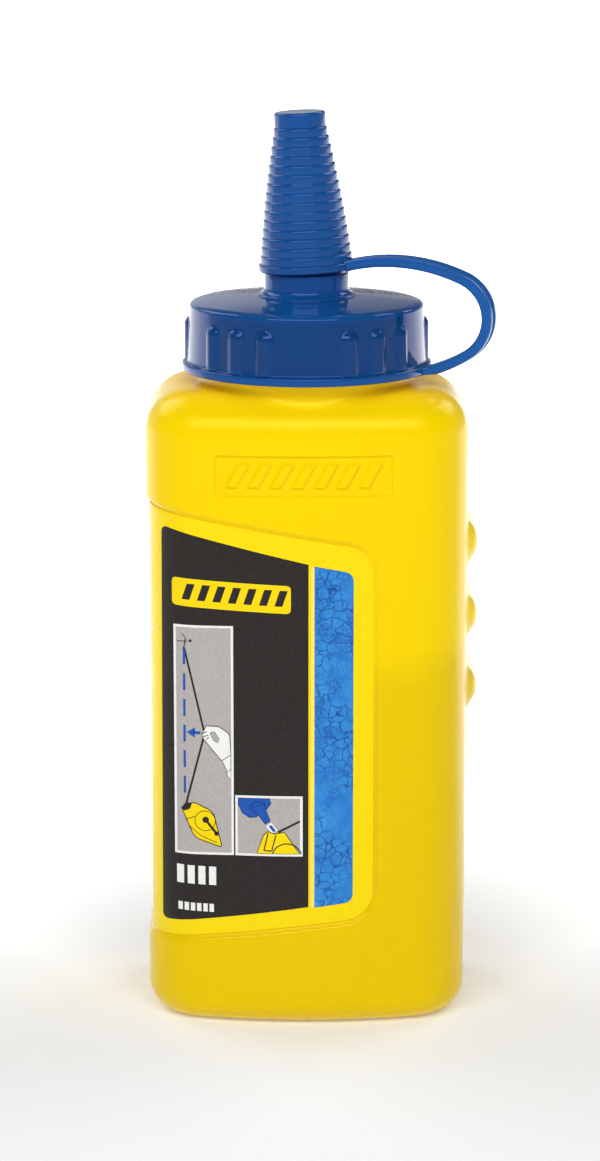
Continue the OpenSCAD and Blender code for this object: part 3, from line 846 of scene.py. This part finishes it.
def make_cover(material):
    """The terraced cover: each terrace has a rounded upper edge and a slight draft, over a hollow cone."""
    pitch = (FIRST_LEDGE - LAST_LEDGE) / TERRACES
    edge = 0.4
    rows = [(SEAL_R + 0.12, BOSS_Z), (COLLAR_R - 0.2, BOSS_Z), (COLLAR_R, BOSS_Z + 0.2)]
    rows += arc((COLLAR_R - 0.25, LAST_LEDGE - 0.25), 0.25, 0, 80, 4)
    for k in range(TERRACES - 1, -1, -1):
        top = FIRST_LEDGE - k * pitch
        radius = terrace_r(k)
        rows.append((radius - 0.05, top - pitch + 0.04))
        rows.append((radius, top - pitch + 0.3))
        rows += arc((radius - edge - 0.02, top - edge + 0.02), edge, 5, 68, 5)
    rows.append((COVER_TIP_R - 0.03, FIRST_LEDGE + 0.05))
    rows += arc((COVER_TIP_R - 0.45, COVER_TOP - 0.45), 0.42, 0, 90, 6)
    rows += [(2.6, COVER_TOP - 0.06), (1.2, COVER_TOP - 0.1), (0.02, COVER_TOP - 0.1)]
    tip_inside = COVER_TOP - 2.4 + 0.3
    rows += [(0.02, tip_inside), (COVER_TIP_R - 1.3, tip_inside), (SEAL_R + 0.12, BOSS_Z + SEAL_H + 0.3)]
    cover = lathe("cover_body", rows, material, 300, sharp=32)
    lean(cover)
    return cover


def lean(obj):
    """Tips a piece over the boss's left edge, as the loosely seated cover is."""
    c, s = math.cos(COVER_LEAN), math.sin(COVER_LEAN)
    px, pz = BOSS_R * MM, BOSS_Z * MM
    shift = LEAN_SHIFT * MM
    obj.data.transform(Matrix((
        (c, 0, -s, c * px + s * pz - px + shift),
        (0, 1, 0, 0),
        (s, 0, c, s * px - c * pz + pz),
        (0, 0, 0, 1),
    )))


STRAP_T, STRAP_W, STRAP_TURN = 1.75, 4.0, math.radians(17)
STRAP_START, STRAP_HEADING = (7.3, 126.47), 14.59
STRAP_BENDS = [(30.48, 37.75), (7.04, 124.15), (24.66, 20.61)]


def strap_path():
    """Points and headings along the strap's middle, in a plane through the cap's axis."""
    (r, z), heading = STRAP_START, math.radians(STRAP_HEADING)
    points, headings = [(r, z)], [heading]
    for radius, sweep in STRAP_BENDS:
        steps = 24
        turn = math.radians(sweep) / steps
        for _ in range(steps):
            chord = 2 * radius * math.sin(turn / 2)
            r += chord * math.cos(heading - turn / 2)
            z += chord * math.sin(heading - turn / 2)
            heading -= turn
            points.append((r, z))
            headings.append(heading)
    return points, headings


def strap_section():
    """The band's section, as (across the thickness, along the width), with a groove on its outer face."""
    t, w, e = STRAP_T / 2, STRAP_W / 2, 0.35
    corner = [(t, -0.85), (t, -1.2), (t, -w + e), (t - 0.1, -w + 0.1), (t - e, -w)]
    corner += [(-t + e, -w), (-t + 0.1, -w + 0.1), (-t, -w + e), (-t, -0.6)]
    groove = [(t - 0.28, 0.6), (t - 0.28, 0.0), (t - 0.28, -0.6)]
    mirrored = [(a, -b) for a, b in corner[::-1]]
    return groove + corner + mirrored


def make_strap(material):
    points, headings = strap_path()
    section = strap_section()
    grid = []
    last = len(points) - 1
    for i, ((r, z), heading) in enumerate(zip(points, headings)):
        flare = 1 + 0.25 * max(0.0, 1 - min(i, last - i) / 6) ** 2
        settle = float(smooth_step(i, last - 9, last - 2))
        ring = []
        for out, along in section:
            off = out * (1 - 0.3 * settle)
            radius = r - off * math.sin(heading)
            height = z + off * math.cos(heading) + 0.12 * settle
            across = along * flare
            ring.append((
                radius * math.cos(STRAP_TURN) - across * math.sin(STRAP_TURN),
                -radius * math.sin(STRAP_TURN) - across * math.cos(STRAP_TURN),
                height,
            ))
        grid.append(ring)
    return tube("strap_band", np.array(grid), material, sharp=40, capped=True)


def make_liner(material):
    outer, hole = CAP_BORE_R - 0.25, 5.4
    rows = [(hole, NECK_TOP), (outer, NECK_TOP), (outer, DECK_UNDER), (hole, DECK_UNDER)]
    return lathe("liner_disc", rows, material, 128)


def own(obj, body, node):
    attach(obj, body)
    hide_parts(node)
    return obj


# ---- stage ----
def make_stage():
    """A white sweep: pale paper round the bottle that turns into lit background further out."""
    bpy.ops.mesh.primitive_grid_add(x_subdivisions=8, y_subdivisions=8, size=14)
    floor = bpy.context.object
    floor.name = "floor"
    s = Shader("floor_paper", (0.9, 0.9, 0.9), Roughness=0.8, Specular_IOR_Level=0.2)
    where, (x, y, _) = s.place()
    away = s.math("SQRT", s.math("ADD", s.math("MULTIPLY", x, x), s.math("MULTIPLY", y, y)))
    lit = s.ramp(away, 0.04, 0.22)
    behind = s.ramp(s.math("DIVIDE", y, away), 0.25, 0.42)
    paper = s.mix(s.noise(where, 30, 3), (0.84, 0.855, 0.89), (0.86, 0.875, 0.91))
    s.set("Base Color", s.mix(lit, paper, (0.3, 0.3, 0.3)))
    s.out.inputs["Emission Color"].default_value = (1.0, 0.995, 0.985, 1)
    glow = s.ramp(behind, 0.0, 1.0, 0.5, 1.7)
    s.set("Emission Strength", s.math("ADD", s.math("MULTIPLY", lit, glow), 0.2))
    floor.data.materials.append(s.material)


def make_world():
    """A dim room, pale all round at floor level, with a lit white wall behind the bottle.

    The glossy plastic mirrors the wall at its edges.
    """
    world = bpy.data.worlds.new("studio")
    bpy.context.scene.world = world
    world.use_nodes = True
    tree = world.node_tree
    split = tree.nodes.new("ShaderNodeSeparateXYZ")
    tree.links.new(tree.nodes.new("ShaderNodeTexCoord").outputs["Generated"], split.inputs[0])

    def ramp(axis, dark, lit, top=1.0):
        """Rises from 0 to top as the direction's axis goes from dark to lit."""
        made = tree.nodes.new("ShaderNodeMapRange")
        made.interpolation_type = "SMOOTHSTEP"
        made.inputs[1].default_value = min(dark, lit)
        made.inputs[2].default_value = max(dark, lit)
        made.inputs[3].default_value = top if lit < dark else 0.0
        made.inputs[4].default_value = top if dark < lit else 0.0
        tree.links.new(split.outputs[axis], made.inputs[0])
        return made.outputs[0]

    def join(operation, a, b):
        made = tree.nodes.new("ShaderNodeMath")
        made.operation = operation
        tree.links.new(a, made.inputs[0])
        tree.links.new(b, made.inputs[1])
        return made.outputs[0]

    wall = join("MULTIPLY", ramp("Y", 0.34, 0.42), ramp("Z", 0.42, 0.26))
    wall = join("MULTIPLY", wall, ramp("X", 0.22, -0.22))
    lit = join("MAXIMUM", wall, ramp("Z", 0.24, 0.08, 0.6))
    strength = tree.nodes.new("ShaderNodeMath")
    strength.operation = "MULTIPLY_ADD"
    strength.inputs[1].default_value = 0.75
    strength.inputs[2].default_value = 0.1
    tree.links.new(lit, strength.inputs[0])
    back = tree.nodes["Background"]
    tree.links.new(strength.outputs[0], back.inputs["Strength"])
    back.inputs["Color"].default_value = (1.0, 0.995, 0.985, 1)


def make_light(name, place, target, size, power):
    data = bpy.data.lights.new(name, "AREA")
    data.shape = "RECTANGLE"
    data.size, data.size_y = size
    data.energy = power
    obj = bpy.data.objects.new(name, data)
    bpy.context.scene.collection.objects.link(obj)
    obj.location = place
    aim = Vector(target) - Vector(place)
    obj.rotation_euler = aim.to_track_quat("-Z", "Y").to_euler()


def make_camera():
    look_down = 12.6
    data = bpy.data.cameras.new("camera")
    data.sensor_width, data.lens = 36, 109.3
    camera = bpy.data.objects.new("camera", data)
    bpy.context.scene.collection.objects.link(camera)
    camera.location = (-0.0011, -0.5823, 0.2027)
    camera.rotation_euler = (math.radians(90 - look_down), 0, 0)
    data.clip_start, data.clip_end = 0.01, 50
    bpy.context.scene.camera = camera


def main():
    make_camera()
    yellow = bottle_plastic()
    own(make_bottle(yellow), "bottle", "bottle")
    thread = make_thread("neck_thread", NECK_R - 0.2, THREAD_R, THREAD_Z, 0, yellow)
    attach(thread, "bottle")
    own(make_label(print_ink("label_stock", srgb(254, 221, 4))), "bottle", "wrap_label")
    make_print()
    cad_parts["chalk_powder"].material_slots[0].material = powder()

    # the two heights mark the skirt band whose colour is darkened as painted shade
    blue = blue_plastic("cap_blue", BLUE, 0.06, (CAP_Z + FLANGE_T - 0.4, RIM_Z - 0.1))
    own(make_cap(blue), "screw_cap", "screw_cap")
    lock = make_thread("cap_thread", CAP_BORE_R + 0.15, THREAD_R - 1, THREAD_Z, 180, blue)
    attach(lock, "screw_cap")
    cover = make_cover(blue_plastic("cover_blue", BLUE, 0.12, white=0.45))
    own(cover, "nozzle_cover", "nozzle_cover")
    own(make_liner(liner_foam()), "cap_liner", "cap_liner")
    strap = make_strap(blue_plastic("strap_blue", STRAP_BLUE, 0.2))
    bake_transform(strap)
    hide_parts("tether_strap")

    make_stage()
    make_world()
    centre = (0, 0, 0.075)
    make_light("key", (-0.06, -0.78, 0.76), centre, (1.2, 0.4), 8.1)
    make_light("back_left", (-0.7, 0.5, 0.8), centre, (0.6, 0.6), 3)
    make_light("back_right", (0.7, 0.5, 0.8), centre, (0.6, 0.6), 3)
    bpy.context.scene.view_settings.view_transform = "Standard"


main()
